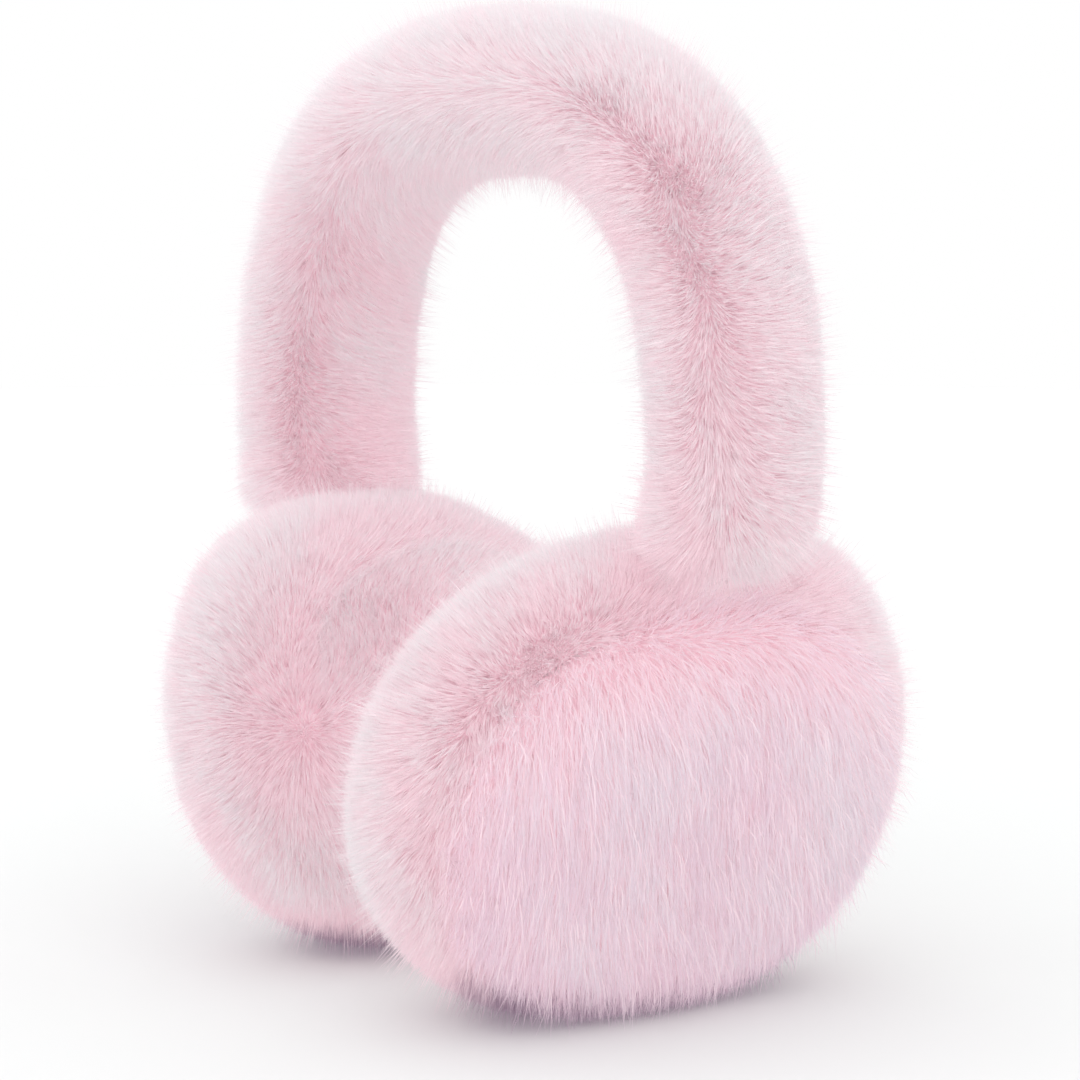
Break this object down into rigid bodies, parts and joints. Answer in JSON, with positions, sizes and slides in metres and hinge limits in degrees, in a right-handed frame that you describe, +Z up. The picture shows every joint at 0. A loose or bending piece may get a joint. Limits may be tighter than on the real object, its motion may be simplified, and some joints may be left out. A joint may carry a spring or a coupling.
{
  "type": "fur earmuffs",
  "caption": "Round, furry headband arching over a pair of oval, stuffed fur ear cups that stand on their rims.",
  "frame": {"origin": "on the surface that the cups stand on, at the middle of the object's length and depth", "axes": "+Z up, +X towards the wearer's left cup, -Y to the front"},
  "size_m": [0.186, 0.1325, 0.215],
  "materials": {
    "headband_fur": "deep plush fur, matt, rosy at the roots and nearly white at the tips",
    "face_fur": "long plush fur combed downwards, matt with a soft sheen",
    "side_fur": "plush fur standing out round the rim, matt, pale at the tips",
    "pad_fur": "short, dense plush fur, matt and rosy"
  },
  "bodies": {
    "root": {"headband": "headband_fur", "left_outer_face": "face_fur", "left_side_band": "side_fur", "left_ear_pad": "pad_fur", "right_outer_face": "face_fur", "right_side_band": "side_fur", "right_ear_pad": "pad_fur"}
  },
  "joints": []
}
